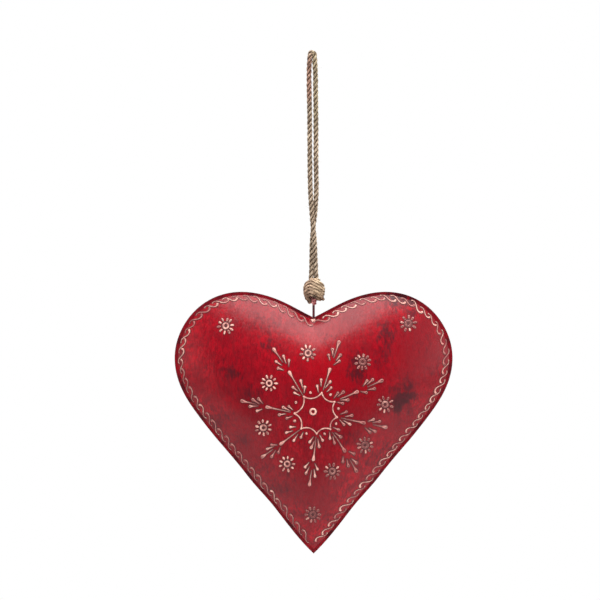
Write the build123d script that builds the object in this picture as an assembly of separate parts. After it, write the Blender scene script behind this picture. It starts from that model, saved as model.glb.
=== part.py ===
from build123d import *
import math
import os

# A puffed sheet-metal heart that hangs by a wire eye from a knotted loop of jute cord.
# X is to the right, the decorated front faces -Y and +Z is up. The origin is the inner
# top of the cord loop, where it bears on a nail. All sizes are in millimetres.

os.makedirs("parts", exist_ok=True)

# Heart: overall size, form of each half and sheet
heart_width = 180.0
heart_height = 169.8
dome_depth = 20.0
sheet = 0.5
lip_width = 1.2
seam_thickness = 0.6
seam_proud = 0.2

# Cord: one length, folded over a thin nail, its legs crossing once on the way down.
# The legs' route: x and y in cord diameters, the way down as a share of the drop.
cord_diameter = 3.4
cord_drop = 146.0
cord_end_gap = 0.2
cord_end_half_spacing = 2.0
fold_half_width = 2.9
fold_radius = 2.8
rising_leg_shares = (
    (0.559, -0.162, 0.9315), (0.397, -0.471, 0.8493), (-0.029, -0.618, 0.7671), (-0.500, -0.412, 0.6849),
    (-0.735, -0.059, 0.6027), (-0.765, 0.059, 0.4521), (-0.853, -0.029, 0.2877), (-0.824, 0.029, 0.1370),
    (-0.853, 0.000, 0.0685),
)
falling_leg_shares = (
    (0.853, 0.000, 0.0685), (0.559, -0.029, 0.1507), (0.500, 0.029, 0.3014), (0.559, -0.059, 0.4521),
    (0.588, 0.088, 0.6027), (0.353, 0.412, 0.6849), (-0.059, 0.618, 0.7671), (-0.412, 0.441, 0.8493),
    (-0.559, 0.147, 0.9315),
)
cord_run_share = 0.45
cord_longest_radius = 400.0
fold_slack_share = 0.01

# Knot and the room inside it for the wire eye
knot_height = 14.0
knot_width = 14.5
knot_end_width = 10.9
turn_diameter = 1.9
knot_turns = 5
tail_length = 3.0
tail_angle = -60.0
turn_clearance = 0.1
bight_diameter = 3.0
bight_fold_radius = 3.0
bight_rise = 5.5
pivot_drop = 9.6
core_skirt = 2.0

# Wire hanger
wire_diameter = 1.6
wire_clearance = 0.1
eye_clearance = 0.3
slot_clearance = 0.35
stem_length = 12.7
wrap_width = 3.5
wrap_bead = 1.2
wrap_pitch = 1.0
wrap_turns = 3
anchor_depth = 7.0
anchor_fall = 12.0
anchor_foot = 8.0
anchor_bend_radius = 4.0
solder_width = 6.0
solder_height = 2.4

# Paste decoration, piped beads with flat bottoms
paste_gap = 0.08
line_width = 0.85
stem_tip_width = 1.9
stem_tip_length = 3.0
leaf_width = 1.3
leaf_length = 4.2
dot_width = 1.8
ring_width = 4.9
ring_bead = 1.35
rosette_ring_width = 4.4
rosette_ring_bead = 1.15
petal_count = 10
petal_length = 2.5
petal_width = 1.1
petal_start = 3.2
scroll_pitch = 6.5
scroll_width = 3.5
scroll_inset = 4.1
scroll_bead = 0.75
scroll_hook_radius = 0.75
scroll_hook_start = 160.0
scroll_reach = 1.95
scroll_blob_width = 1.4
scroll_clear_of_cleft = 4.0
scroll_clear_of_tip = 6.0

# Decoration, its places from the dome's centre as shares of the heart's width and height
ring_share = (-0.0022, 0.0000)
cusp_shares = (
    (-0.0354, 0.0567), (0.0289, 0.0717), (0.0751, 0.0371), (0.0842, -0.0214),
    (0.0603, -0.0667), (0.0105, -0.0843), (-0.0448, -0.0648), (-0.0686, -0.0069),
)
cusp_bow_share = 0.17
dot_shares = (
    (-0.0116, 0.0724), (0.0603, 0.0643), (0.0889, 0.0114), (0.0806, -0.0460),
    (0.0394, -0.0843), (-0.0257, -0.0835), (-0.0686, -0.0352), (-0.0639, 0.0352),
)
ray_shares = (
    ((-0.0878, 0.1505), (-0.1441, 0.2382)),
    ((0.0585, 0.1620), (0.0918, 0.2658)),
    ((0.1579, 0.0762), (0.2464, 0.1192)),
    ((0.1821, -0.0429), (0.2612, -0.0605)),
    ((0.1120, -0.1505), (0.1543, -0.2287)),
    ((-0.0011, -0.1838), (-0.0152, -0.2795)),
    ((-0.1185, -0.1233), (-0.1850, -0.1739)),
    ((-0.1684, 0.0176), (-0.2587, 0.0410)),
)
ray_root_share = 0.45
inner_stem_share = 0.010
outer_stem_share = 0.036
leaf_places_share = ((0.040, 0.0145, 18.0), (0.021, 0.0205, 32.0))
rosette_shares = (
    (-0.0206, 0.2225), (0.1763, 0.1895), (-0.1600, 0.1080), (0.2569, 0.0272), (-0.1810, -0.0617),
    (0.1846, -0.1283), (-0.0954, -0.1995), (0.0668, -0.2279), (-0.3168, 0.3263), (0.3410, 0.3355),
    (-0.0029, -0.3940),
)

# Half outline of the heart from the cleft round to the tip: x as a share of the width,
# height above the tip as a share of the height
half_outline_shares = (
    (0.000, 0.901), (0.051, 0.929), (0.108, 0.960), (0.166, 0.984), (0.210, 0.9946), (0.260, 1.000),
    (0.311, 0.993), (0.354, 0.980), (0.397, 0.955), (0.441, 0.9125), (0.477, 0.854), (0.498, 0.785),
    (0.499, 0.716), (0.483, 0.647), (0.448, 0.578), (0.402, 0.509), (0.332, 0.4175), (0.2245, 0.2795),
    (0.115, 0.142), (0.025, 0.027), (0.000, 0.000),
)
cleft_share = half_outline_shares[0][1]
centre_share = 0.5435

# Form of the dome: level curves go from the heart outline at the edge to a round of three
# soft lobes at the middle, and the depth follows a power of the way in
round_mean_share = 0.433
round_lift_share = 0.044
round_lobe_share = 0.078
dome_power = 2.5
dome_blend_power = 2.0
level_shares = (1.0, 0.975, 0.94, 0.89, 0.82, 0.73, 0.62, 0.5, 0.37, 0.24, 0.12, 0.03)
arc_points = 22

# Angles in degrees, and how finely curves are followed
quarter_circle = math.degrees(math.pi / 2)
half_circle = math.degrees(math.pi)
full_circle = math.degrees(2 * math.pi)
curve_samples = 600
border_samples = 400
halvings = 40
cord_apart = 15.0
probe_share = 0.001

# Places in the height, each from the piece above it
knot_top = -cord_drop
knot_bottom = knot_top - knot_height
pivot_z = knot_top - pivot_drop
eye_radius = bight_diameter / 2 + eye_clearance + wire_diameter / 2
cleft_z = pivot_z - eye_radius - stem_length
tip_z = cleft_z - cleft_share * heart_height
centre_z = tip_z + centre_share * heart_height
half_seam = seam_thickness / 2


# Heart outline and dome, as formulas of the angle from straight up round the dome's centre
def outline_table():
    """Angle and radius of each outline point, seen from the dome's centre."""
    table = []
    for x_share, z_share in half_outline_shares:
        x = x_share * heart_width
        z = (z_share - centre_share) * heart_height
        table.append((math.atan2(x, z), math.hypot(x, z)))
    return table


outline = outline_table()


def smooth_slopes(table):
    """Slope of the radius at each outline point, for a smooth curve through them."""
    steps = [(b[1] - a[1]) / (b[0] - a[0]) for a, b in zip(table, table[1:])]
    inner = []
    for index in range(1, len(steps)):
        before = table[index][0] - table[index - 1][0]
        after = table[index + 1][0] - table[index][0]
        inner.append((steps[index - 1] * after + steps[index] * before) / (before + after))
    return [steps[0]] + inner + [steps[-1]]


outline_slopes = smooth_slopes(outline)


def heart_radius(angle):
    """Radius of the heart's edge and its slope at an angle from 0, the cleft, to pi, the tip."""
    index = 0
    while index < len(outline) - 2 and angle > outline[index + 1][0]:
        index += 1
    start, start_radius = outline[index]
    end, end_radius = outline[index + 1]
    span = end - start
    t = (angle - start) / span
    rise = start_radius * (2 * t ** 3 - 3 * t ** 2 + 1) + end_radius * (3 * t ** 2 - 2 * t ** 3)
    bend = outline_slopes[index] * (t ** 3 - 2 * t ** 2 + t) + outline_slopes[index + 1] * (t ** 3 - t ** 2)
    slope = (start_radius - end_radius) * (6 * t ** 2 - 6 * t) / span
    slope += outline_slopes[index] * (3 * t ** 2 - 4 * t + 1) + outline_slopes[index + 1] * (3 * t ** 2 - 2 * t)
    return rise + span * bend, slope


def inset_radius(angle, inset):
    """Radius of a curve that lies inside the heart's edge by an even distance."""
    radius, slope = heart_radius(angle)
    return radius - inset * math.hypot(1, slope / radius)


def round_radius(angle):
    """Radius of the soft round form in the middle of the dome."""
    lift = round_lift_share * math.cos(angle)
    lobes = round_lobe_share * math.cos(3 * angle)
    return heart_width * (round_mean_share + lift - lobes)


def level_radius(angle, level, inset):
    """Radius of the level curve, from 1 at the dome's edge to 0 at its middle."""
    heart_part = level ** dome_blend_power
    return level * (heart_part * inset_radius(angle, inset) + (1 - heart_part) * round_radius(angle))


def level_depth(level, depth):
    return depth * (1 - level ** dome_power)


def front_y(x, z):
    """Y of the front dome's outside at a place x, z."""
    angle = math.atan2(abs(x), z - centre_z)
    distance = math.hypot(x, z - centre_z)
    low, high = 0.0, 1.0
    for _ in range(halvings):
        level = (low + high) / 2
        if level_radius(angle, level, lip_width) < distance:
            low = level
        else:
            high = level
    return -half_seam - level_depth(high, dome_depth)


# Shells
def heart_curve(radius_at, y):
    """Closed curve at a depth y, two splines that meet at the cleft and at the tip."""
    right = []
    left = []
    for index in range(arc_points + 1):
        angle = math.pi * index / arc_points
        radius = radius_at(angle)
        x = radius * math.sin(angle)
        z = centre_z + radius * math.cos(angle)
        right.append((x, y, z))
        left.append((-x, y, z))
    right[-1] = (0, y, right[-1][2])
    left[-1] = (0, y, left[-1][2])
    return Wire([Spline(right), Spline(left[::-1])])


def dome_solid(inset, depth):
    """Closed lofted solid from the seam plane to the front of the dome."""
    curves = []
    for level in level_shares:
        y = -half_seam - level_depth(level, depth)
        curves.append(heart_curve(lambda angle: level_radius(angle, level, inset), y))
    return Solid.make_loft(curves)


def edge_slope():
    """Steepness of the dome at its edge, in the direction of the widest lobe."""
    angle = math.pi / 2
    inner = 1 - probe_share
    run = level_radius(angle, 1, lip_width) - level_radius(angle, inner, lip_width)
    return level_depth(inner, dome_depth) / run


def front_half():
    slope = edge_slope()
    wall_run = sheet * math.hypot(1, slope) / slope
    outer = dome_solid(lip_width, dome_depth)
    inner = dome_solid(lip_width + wall_run, dome_depth - sheet)
    lip_face = Face(heart_curve(lambda angle: inset_radius(angle, 0), -half_seam))
    lip = Solid.extrude(lip_face, Vector(0, -sheet, 0))
    return outer.fuse(lip).cut(inner)


def wire_passage():
    """Round hole through the seam at the cleft for the wire."""
    passage = Cylinder(wire_diameter / 2 + wire_clearance, 2 * anchor_depth)
    return Pos(0, 0, cleft_z) * passage


front_shell = front_half()
back_shell = mirror(front_shell, about=Plane.XZ) - wire_passage()
front_shell = front_shell - wire_passage()


def lip_seam():
    """Solder between the two lips, a flat heart-shaped ring that stands a little proud."""
    outer = Face(heart_curve(lambda angle: inset_radius(angle, -seam_proud), half_seam))
    inner = Face(heart_curve(lambda angle: inset_radius(angle, lip_width), half_seam))
    return Solid.extrude(outer - inner, Vector(0, -seam_thickness, 0)) - wire_passage()


# Wire eye, its wrapped end, its stem and the inner leg
def back_inside_y(z):
    """Y of the back dome's inside on the middle plane."""
    return -front_y(0, z) - sheet * math.hypot(1, edge_slope())


def anchor_points():
    """Route of the stem and its inner leg, from the eye to the end of the foot."""
    standoff = wire_diameter / 2 + wire_clearance
    bend_z = cleft_z - anchor_depth
    touch_z = bend_z - anchor_fall
    end_z = touch_z - anchor_foot
    return [
        Vector(0, 0, pivot_z - eye_radius),
        Vector(0, 0, bend_z),
        Vector(0, back_inside_y(touch_z) - standoff, touch_z),
        Vector(0, back_inside_y(end_z) - standoff, end_z),
    ]


def wire_hanger():
    eye = Pos(0, 0, pivot_z) * Rot(quarter_circle, 0, 0) * Torus(eye_radius, wire_diameter / 2)
    points = anchor_points()
    leg_path = FilletPolyline(*points, radius=anchor_bend_radius)
    leg = tube(leg_path, wire_diameter)
    wrap_top = pivot_z - eye_radius - wire_diameter / 2
    wire = leg.fuse(eye)
    for turn in range(wrap_turns):
        ring = Torus((wrap_width - wrap_bead) / 2, wrap_bead / 2)
        wire = wire.fuse(Pos(0, 0, wrap_top - turn * wrap_pitch) * ring)
    return wire


def foot_solder(wire):
    """Low round lump of solder that ties the wire's foot to the back shell."""
    points = anchor_points()
    foot_middle = (points[2] + points[3]) / 2
    along = points[3] - points[2]
    out_of_shell = along.cross(Vector(1, 0, 0)).normalized()
    if out_of_shell.Y > 0:
        out_of_shell = -out_of_shell
    base = foot_middle - out_of_shell * (wire_diameter / 2 + wire_clearance / 2)
    ball_radius = ((solder_width / 2) ** 2 + solder_height ** 2) / (2 * solder_height)
    below = ball_radius - solder_height
    cut_angle = math.degrees(math.asin(below / ball_radius))
    cap = Sphere(ball_radius, arc_size1=cut_angle, align=(Align.CENTER, Align.CENTER, Align.MIN))
    return Plane(origin=base, z_dir=out_of_shell).location * cap - wire


# Tubes: cord, wire and the turns of the knot
def tube(path, diameter):
    """Round solid along a path whose runs and arcs join smoothly."""
    start = Plane(origin=path @ 0, z_dir=path % 0)
    section = Face(Wire([Edge.make_circle(diameter / 2, plane=start)]))
    return Solid.sweep(section, path=path)


def arc_pair(start, start_way, end, end_way):
    """Two arcs from one point and direction to another, joined smoothly."""
    across = end - start
    spread = 2 * (1 - start_way.dot(end_way))
    lean = 2 * across.dot(start_way + end_way)
    reach = (math.sqrt(lean ** 2 + 4 * spread * across.dot(across)) - lean) / (2 * spread)
    joint = (start + start_way * reach + end - end_way * reach) / 2
    joint_way = (end - end_way * reach) - (start + start_way * reach)
    first = Edge.make_tangent_arc(start, start_way, joint)
    second = Edge.make_tangent_arc(joint, joint_way, end)
    return [first, second]


def barrel_radius(z, middle_radius, end_radius, half_length):
    """Radius of a barrel whose side is one arc, at a height from its middle."""
    bulge = middle_radius - end_radius
    side_radius = (half_length ** 2 + bulge ** 2) / (2 * bulge)
    return math.sqrt(side_radius ** 2 - z ** 2) - side_radius + middle_radius


knot_middle_z = (knot_top + knot_bottom) / 2
turn_middle_radius = (knot_width - turn_diameter) / 2
turn_end_radius = (knot_end_width - turn_diameter) / 2
turn_half_height = (knot_height - turn_diameter) / 2


def turn_point(angle):
    """Point of the knot's outer winding; the angle runs on from turn to turn."""
    share = angle / (2 * math.pi * knot_turns)
    height = turn_half_height * (1 - 2 * share)
    radius = barrel_radius(height, turn_middle_radius, turn_end_radius, turn_half_height)
    bearing = angle + math.radians(tail_angle)
    return Vector(radius * math.cos(bearing), radius * math.sin(bearing), knot_middle_z + height)


def turn_way(angle):
    low = max(angle - probe_share, 0)
    high = min(angle + probe_share, 2 * math.pi * knot_turns)
    return (turn_point(high) - turn_point(low)).normalized()


def winding_path():
    """Five turns of cord round the knot, straight at the start and at the cut tail."""
    quarter = math.pi / 2
    angles = [quarter * index for index in range(4 * knot_turns + 1)]
    first, last = turn_point(angles[0]), turn_point(angles[-1])
    edges = [Edge.make_line(first - turn_way(angles[0]) * turn_diameter, first)]
    for low, high in zip(angles, angles[1:]):
        edges += arc_pair(turn_point(low), turn_way(low), turn_point(high), turn_way(high))
    edges.append(Edge.make_line(last, last + turn_way(angles[-1]) * tail_length))
    return Wire(edges)


def along(path):
    """Points spaced evenly along a path."""
    return [path @ (index / curve_samples) for index in range(curve_samples + 1)]


def least_gap(points, diameter, apart):
    """Least gap between stretches of one tube that are further apart along it than a length."""
    travelled = [0.0]
    for before, after in zip(points, points[1:]):
        travelled.append(travelled[-1] + (after - before).length)
    least = math.inf
    for index, point in enumerate(points):
        for other in range(index + 1, len(points)):
            if travelled[other] - travelled[index] > apart:
                least = min(least, (points[other] - point).length)
    return least - diameter


# Knot core and the bight that carries the wire eye
def bight_path():
    rise = pivot_z + bight_rise
    return FilletPolyline(
        (0, -bight_fold_radius, rise), (0, -bight_fold_radius, pivot_z),
        (0, bight_fold_radius, pivot_z), (0, bight_fold_radius, rise),
        radius=bight_fold_radius * (1 - fold_slack_share),
    )


def knot_core(bight):
    """Packed cord inside the knot, with a slot in which the wire eye swings."""
    top = knot_top - knot_middle_z
    bottom = pivot_z - core_skirt - knot_middle_z
    inset = turn_diameter / 2 + turn_clearance
    rim = [(barrel_radius(z, turn_middle_radius, turn_end_radius, turn_half_height) - inset, z)
           for z in (top, (top + bottom) / 2, bottom)]
    side = ThreePointArc(*rim)
    ends = Polyline(rim[2], (0, bottom), (0, top), rim[0])
    profile = make_face([side, ends])
    core = revolve(Pos(0, 0, knot_middle_z) * Rot(quarter_circle, 0, 0) * profile, axis=Axis.Z)
    slot_radius = eye_radius + wire_diameter / 2 + slot_clearance
    slot = Cylinder(slot_radius, wire_diameter + 2 * slot_clearance)
    return core - Pos(0, 0, pivot_z) * Rot(quarter_circle, 0, 0) * slot - bight


# Cord loop, from the knot up over the nail and down again
def leg_route(leg_shares):
    return [(x * cord_diameter, y * cord_diameter, -z * cord_drop) for x, y, z in leg_shares]


def cord_corners():
    end_z = knot_top + cord_end_gap
    rise = cord_diameter / 2
    start = [(cord_end_half_spacing, 0, end_z)]
    fold = [(-fold_half_width, 0, rise), (fold_half_width, 0, rise)]
    finish = [(-cord_end_half_spacing, 0, end_z)]
    return start + leg_route(rising_leg_shares) + fold + leg_route(falling_leg_shares) + finish


def cord_radii(points):
    """Radius of the arc at each corner: as large as its two runs allow, but the nail's at the fold."""
    vectors = [Vector(*point) for point in points]
    radii = []
    for before, corner, after in zip(vectors, vectors[1:], vectors[2:]):
        turn = math.radians((corner - before).get_angle(after - corner))
        shorter = min((corner - before).length, (after - corner).length)
        radii.append(min(cord_run_share * shorter / math.tan(turn / 2), cord_longest_radius))
    top = max(point[2] for point in points)
    return [fold_radius if points[index + 1][2] == top else radius for index, radius in enumerate(radii)]


# Paste dabs, each modelled flat on the XY plane, its middle at the origin, along X
def half_round(length_profile):
    """Half of a round dab, from an outline over the X axis turned by half a turn."""
    return revolve(make_face(length_profile), axis=Axis.X, revolution_arc=half_circle)


def leaf_dab(length, width):
    """Teardrop with a thin tail at -X and a round head at +X."""
    radius = width / 2
    head = length / 2 - radius
    tail = -length / 2
    lean = math.asin(radius / (head - tail))
    touch = (head - radius * math.sin(lean), radius * math.cos(lean))
    middle = (head + radius * math.sin(math.pi / 4 - lean / 2), radius * math.cos(math.pi / 4 - lean / 2))
    outline_edges = [
        Line((tail, 0), touch),
        ThreePointArc(touch, middle, (head + radius, 0)),
        Line((head + radius, 0), (tail, 0)),
    ]
    return half_round(outline_edges)


def stem_dab(length):
    """Thin bead with a fat teardrop tip at +X."""
    bead = line_width / 2
    radius = stem_tip_width / 2
    end = length / 2
    swell = end - stem_tip_length
    head = end - radius
    outline_edges = [
        Line((-end, 0), (-end, bead)),
        Line((-end, bead), (swell, bead)),
        Line((swell, bead), (head, radius)),
        ThreePointArc((head, radius), (head + radius * math.sin(math.pi / 4), radius * math.cos(math.pi / 4)),
                      (end, 0)),
        Line((end, 0), (-end, 0)),
    ]
    return half_round(outline_edges)


def dot_dab(width):
    return Sphere(width / 2, arc_size1=0, align=(Align.CENTER, Align.CENTER, Align.MIN))


def ring_dab(width, bead):
    """Ring of a half-round bead."""
    middle = (width - bead) / 2
    bead_face = make_face([Line((middle - bead / 2, 0), (middle + bead / 2, 0)),
                           CenterArc((middle, 0), bead / 2, 0, half_circle)])
    return revolve(Rot(quarter_circle, 0, 0) * bead_face, axis=Axis.Z)


def bead_along(path, width):
    """Half-round bead along a flat path on the XY plane."""
    way = path % 0
    side = Vector(0, 0, 1).cross(way)
    start = Plane(origin=path @ 0, x_dir=side, z_dir=way)
    radius = width / 2
    section = make_face([Line((-radius, 0), (radius, 0)), CenterArc((0, 0), radius, 0, half_circle)])
    return Solid.sweep((start * section).face(), path=path)


def scroll_dab():
    """One unit of the running border: an outer hook, a slanting line, an inner hook and its blob."""
    lift = (scroll_width - scroll_bead) / 2 - scroll_hook_radius
    centre_way = math.degrees(math.atan2(lift, scroll_reach))
    slant = centre_way + math.degrees(math.asin(scroll_hook_radius / math.hypot(lift, scroll_reach)))
    leave = slant - quarter_circle
    outer_hook = CenterArc((-scroll_reach, -lift), scroll_hook_radius, scroll_hook_start,
                           leave + full_circle - scroll_hook_start)
    inner_hook = CenterArc((scroll_reach, lift), scroll_hook_radius, leave + half_circle,
                           scroll_hook_start - leave - full_circle)
    line = Line(outer_hook @ 1, inner_hook @ 0)
    path = mirror(Wire([outer_hook.edge(), line.edge(), inner_hook.edge()]), about=Plane.XZ)
    blob_place = path @ 1
    return bead_along(path, scroll_bead).fuse(Pos(blob_place.X, blob_place.Y, 0) * dot_dab(scroll_blob_width))


# Seats of the paste on the dome
def seat(x, z, heading):
    """Place on the front dome: its X axis along a heading from +X towards +Z, its Z axis outwards."""
    probe = line_width / 4
    slope_x = (front_y(x + probe, z) - front_y(x - probe, z)) / (2 * probe)
    slope_z = (front_y(x, z + probe) - front_y(x, z - probe)) / (2 * probe)
    outwards = Vector(slope_x, -1, slope_z).normalized()
    turn = math.radians(heading)
    along = Vector(math.cos(turn), slope_x * math.cos(turn) + slope_z * math.sin(turn), math.sin(turn))
    place = Plane(origin=Vector(x, front_y(x, z), z) + outwards * paste_gap, x_dir=along, z_dir=outwards)
    return place.location


def place_of(shares):
    """Place on the heart's face from shares of its width and height from the dome's centre."""
    return shares[0] * heart_width, centre_z + shares[1] * heart_height


def stem_between(start, end):
    """Stem from one place to another, its tip at the second."""
    run = math.hypot(end[0] - start[0], end[1] - start[1])
    heading = math.degrees(math.atan2(end[1] - start[1], end[0] - start[0]))
    middle = ((start[0] + end[0]) / 2, (start[1] + end[1]) / 2)
    return seat(*middle, heading) * stem_dab(run)


def along_from(start, heading, run, across):
    """Place a run ahead of a start and a step to its left."""
    turn = math.radians(heading)
    return (start[0] + run * math.cos(turn) - across * math.sin(turn),
            start[1] + run * math.sin(turn) + across * math.cos(turn))


def sprig(root, end, stem_start_share):
    """Stem with two leaves on each side that fan out from its root."""
    heading = math.degrees(math.atan2(end[1] - root[1], end[0] - root[0]))
    start = along_from(root, heading, stem_start_share * heart_width, 0)
    dabs = [stem_between(start, end)]
    for run_share, across_share, tilt in leaf_places_share:
        for side in (-1, 1):
            place = along_from(root, heading, run_share * heart_width, side * across_share * heart_width)
            dabs.append(seat(*place, heading + side * tilt) * leaf_dab(leaf_length, leaf_width))
    return dabs


# Groups of paste dabs
def star_line():
    """Eight arcs of bead from cusp to cusp, bowed towards the middle."""
    places = [place_of(shares) for shares in cusp_shares]
    beads = []
    for start, end in zip(places, places[1:] + places[:1]):
        run = math.hypot(end[0] - start[0], end[1] - start[1])
        heading = math.degrees(math.atan2(end[1] - start[1], end[0] - start[0]))
        half = run / 2 - line_width
        bow = cusp_bow_share * run
        path = ThreePointArc((-half, bow / 2), (0, -bow / 2), (half, bow / 2))
        middle = along_from(start, heading, run / 2, -bow / 2)
        beads.append(seat(*middle, heading) * bead_along(path, line_width))
    return beads


def rosette(shares):
    """Ring of bead with petals round it."""
    x, z = place_of(shares)
    dabs = [seat(x, z, 0) * ring_dab(rosette_ring_width, rosette_ring_bead)]
    for petal in range(petal_count):
        heading = quarter_circle + full_circle * petal / petal_count
        place = along_from((x, z), heading, petal_start + petal_length / 2, 0)
        dabs.append(seat(*place, heading) * leaf_dab(petal_length, petal_width))
    return dabs


def border_places(side):
    """Evenly spaced places along the border line on one side, from the cleft round to the tip."""
    line = []
    for index in range(1, border_samples):
        angle = math.pi * index / border_samples
        radius = inset_radius(angle, scroll_inset)
        line.append((side * radius * math.sin(angle), centre_z + radius * math.cos(angle)))
    line = [place for place in line if abs(place[0]) > scroll_inset]
    run = [0.0]
    for before, after in zip(line, line[1:]):
        run.append(run[-1] + math.hypot(after[0] - before[0], after[1] - before[1]))
    first = scroll_clear_of_cleft
    count = int((run[-1] - first - scroll_clear_of_tip) / scroll_pitch)
    places = []
    for unit in range(count + 1):
        target = first + unit * (run[-1] - first - scroll_clear_of_tip) / count
        index = max(i for i, distance in enumerate(run) if distance <= target)
        before, after = line[index], line[index + 1]
        heading = math.degrees(math.atan2(after[1] - before[1], after[0] - before[0]))
        places.append((before[0], before[1], heading if side > 0 else heading + half_circle))
    return places


def border(side):
    unit = scroll_dab()
    return [seat(x, z, heading) * unit for x, z, heading in border_places(side)]


# Pieces and their files
def write_piece(name, piece):
    solids = piece if isinstance(piece, list) else [piece]
    shapes = [solid for item in solids for solid in item.solids()]
    whole = shapes[0] if len(shapes) == 1 else Compound(children=shapes)
    export_step(whole, "parts/" + name + ".step")


hanger_wire = wire_hanger()
bight = tube(bight_path(), bight_diameter)
winding_route = winding_path()
half_turn_length = math.pi * turn_end_radius
print("knot winding least gap", round(least_gap(along(winding_route), turn_diameter, half_turn_length), 3))

corners = cord_corners()
radii = cord_radii(corners)
cord_path = FilletPolyline(*corners, radius=radii)
cord_loop = tube(cord_path, cord_diameter)
print("cord radii", [round(radius, 1) for radius in radii])
print("cord length", round(cord_path.length, 1))
print("cord volume over section times length",
      round(cord_loop.volume / (math.pi * cord_diameter ** 2 / 4 * cord_path.length), 4))
print("cord least gap", round(least_gap(along(cord_path), cord_diameter, cord_apart), 3))

write_piece("front_shell", front_shell)
write_piece("back_shell", back_shell)
write_piece("seam_solder", lip_seam())
write_piece("hanger_wire", hanger_wire)
write_piece("wire_solder", foot_solder(hanger_wire))
write_piece("knot_winding", tube(winding_route, turn_diameter))
write_piece("cord_bight", bight)
write_piece("knot_core", knot_core(bight))
write_piece("cord_loop", cord_loop)
write_piece("centre_ring", seat(*place_of(ring_share), 0) * ring_dab(ring_width, ring_bead))
write_piece("star_line", star_line())
write_piece("star_dots", [seat(*place_of(shares), 0) * dot_dab(dot_width) for shares in dot_shares])
write_piece("border_right", border(1))
write_piece("border_left", border(-1))
for number, shares in enumerate(rosette_shares, start=1):
    write_piece("rosette_" + str(number), rosette(shares))
for number, (joint_shares, tip_shares) in enumerate(ray_shares, start=1):
    joint, tip = place_of(joint_shares), place_of(tip_shares)
    root = place_of([share * ray_root_share for share in joint_shares])
    dabs = sprig(root, joint, inner_stem_share) + sprig(joint, tip, outer_stem_share)
    write_piece("ray_" + str(number), dabs)
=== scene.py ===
import bisect
import math
import random

import bmesh
import bpy
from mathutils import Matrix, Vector
from mathutils.bvhtree import BVHTree


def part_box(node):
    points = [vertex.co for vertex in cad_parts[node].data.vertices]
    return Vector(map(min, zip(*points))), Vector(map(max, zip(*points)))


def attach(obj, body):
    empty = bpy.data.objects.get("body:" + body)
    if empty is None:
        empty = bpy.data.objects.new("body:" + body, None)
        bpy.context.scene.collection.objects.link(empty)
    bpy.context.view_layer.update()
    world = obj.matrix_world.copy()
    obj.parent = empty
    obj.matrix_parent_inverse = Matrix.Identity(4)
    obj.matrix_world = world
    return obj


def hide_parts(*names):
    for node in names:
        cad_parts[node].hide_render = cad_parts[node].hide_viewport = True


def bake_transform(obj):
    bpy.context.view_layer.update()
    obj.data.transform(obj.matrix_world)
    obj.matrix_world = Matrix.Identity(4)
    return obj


# A puffed tin heart in worn red paint, with raised paste decoration, a wire eye and a
# knotted loop of jute cord. Metres, X to the right, the front faces -Y and Z is up.

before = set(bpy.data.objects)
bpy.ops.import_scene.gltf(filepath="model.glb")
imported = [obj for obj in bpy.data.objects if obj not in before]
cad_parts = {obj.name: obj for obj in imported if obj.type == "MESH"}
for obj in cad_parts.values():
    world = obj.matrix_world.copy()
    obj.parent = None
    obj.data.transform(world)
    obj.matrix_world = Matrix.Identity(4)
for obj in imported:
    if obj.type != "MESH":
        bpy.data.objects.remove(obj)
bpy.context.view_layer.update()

bl_info = {
    "name": "Tin heart on a jute loop",
    "version": (1, 0, 0),
    "blender": (4, 5, 0),
    "location": "3D view > Sidebar > Tin heart",
    "description": "Dresses the packed tin heart with paint, paste, wire, knot and cord",
    "category": "Object",
}

MM = 0.001
FULL_TURN = 2 * math.pi

# Places on the front are given across and down on a grid. Its step, its width and, on it,
# the origin: the inner top of the cord's fold
GRID_STEP = 0.6503 * MM
GRID_WIDTH = 600
ORIGIN_ACROSS = 313.6
ORIGIN_DOWN = 55.0


# Sizes and colours that a user may change
class CordSettings(bpy.types.PropertyGroup):
    diameter: bpy.props.FloatProperty(
        name="Cord diameter", description="Thickness of the laid jute cord", default=3.4 * MM, unit="LENGTH")
    lay: bpy.props.FloatProperty(
        name="Lay", description="Length in which a strand goes once round the cord", default=10.5 * MM,
        unit="LENGTH")
    knot_strand: bpy.props.FloatProperty(
        name="Knot strand", description="Thickness of the strands round the knot", default=2.1 * MM,
        unit="LENGTH")
    light: bpy.props.FloatVectorProperty(
        name="Light fibre", description="Colour of the fibres on top of a strand", size=3,
        default=(0.55, 0.425, 0.305), subtype="COLOR")
    dark: bpy.props.FloatVectorProperty(
        name="Dark fibre", description="Colour in the gaps between fibres", size=3,
        default=(0.15, 0.10, 0.065), subtype="COLOR")


class PaintSettings(bpy.types.PropertyGroup):
    red: bpy.props.FloatVectorProperty(
        name="Red", description="Fresh red of the paint", size=3, default=(0.48, 0.004, 0.014),
        subtype="COLOR")
    deep_red: bpy.props.FloatVectorProperty(
        name="Deep red", description="Red in the darker brush marks", size=3,
        default=(0.20, 0.003, 0.009), subtype="COLOR")
    wear: bpy.props.FloatVectorProperty(
        name="Wear", description="Rubbed patches and the edge", size=3, default=(0.026, 0.004, 0.006),
        subtype="COLOR")
    paste: bpy.props.FloatVectorProperty(
        name="Paste", description="Raised paste", size=3, default=(0.88, 0.49, 0.40), subtype="COLOR")


# Small helpers
def deselect():
    """Leaves any edit mode, with nothing selected."""
    if bpy.context.object and bpy.context.object.mode != "OBJECT":
        bpy.ops.object.mode_set(mode="OBJECT")
    bpy.ops.object.select_all(action="DESELECT")


def added(make, name, **values):
    """What an operator makes with nothing else selected, under its name."""
    deselect()
    make(**values)
    bpy.context.object.name = name
    return bpy.context.object


def dress(piece, material):
    """Gives a piece one material and no other."""
    piece.data.materials.clear()
    piece.data.materials.append(material)


def discard(*forms):
    for form in forms:
        bpy.data.objects.remove(form)


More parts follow.
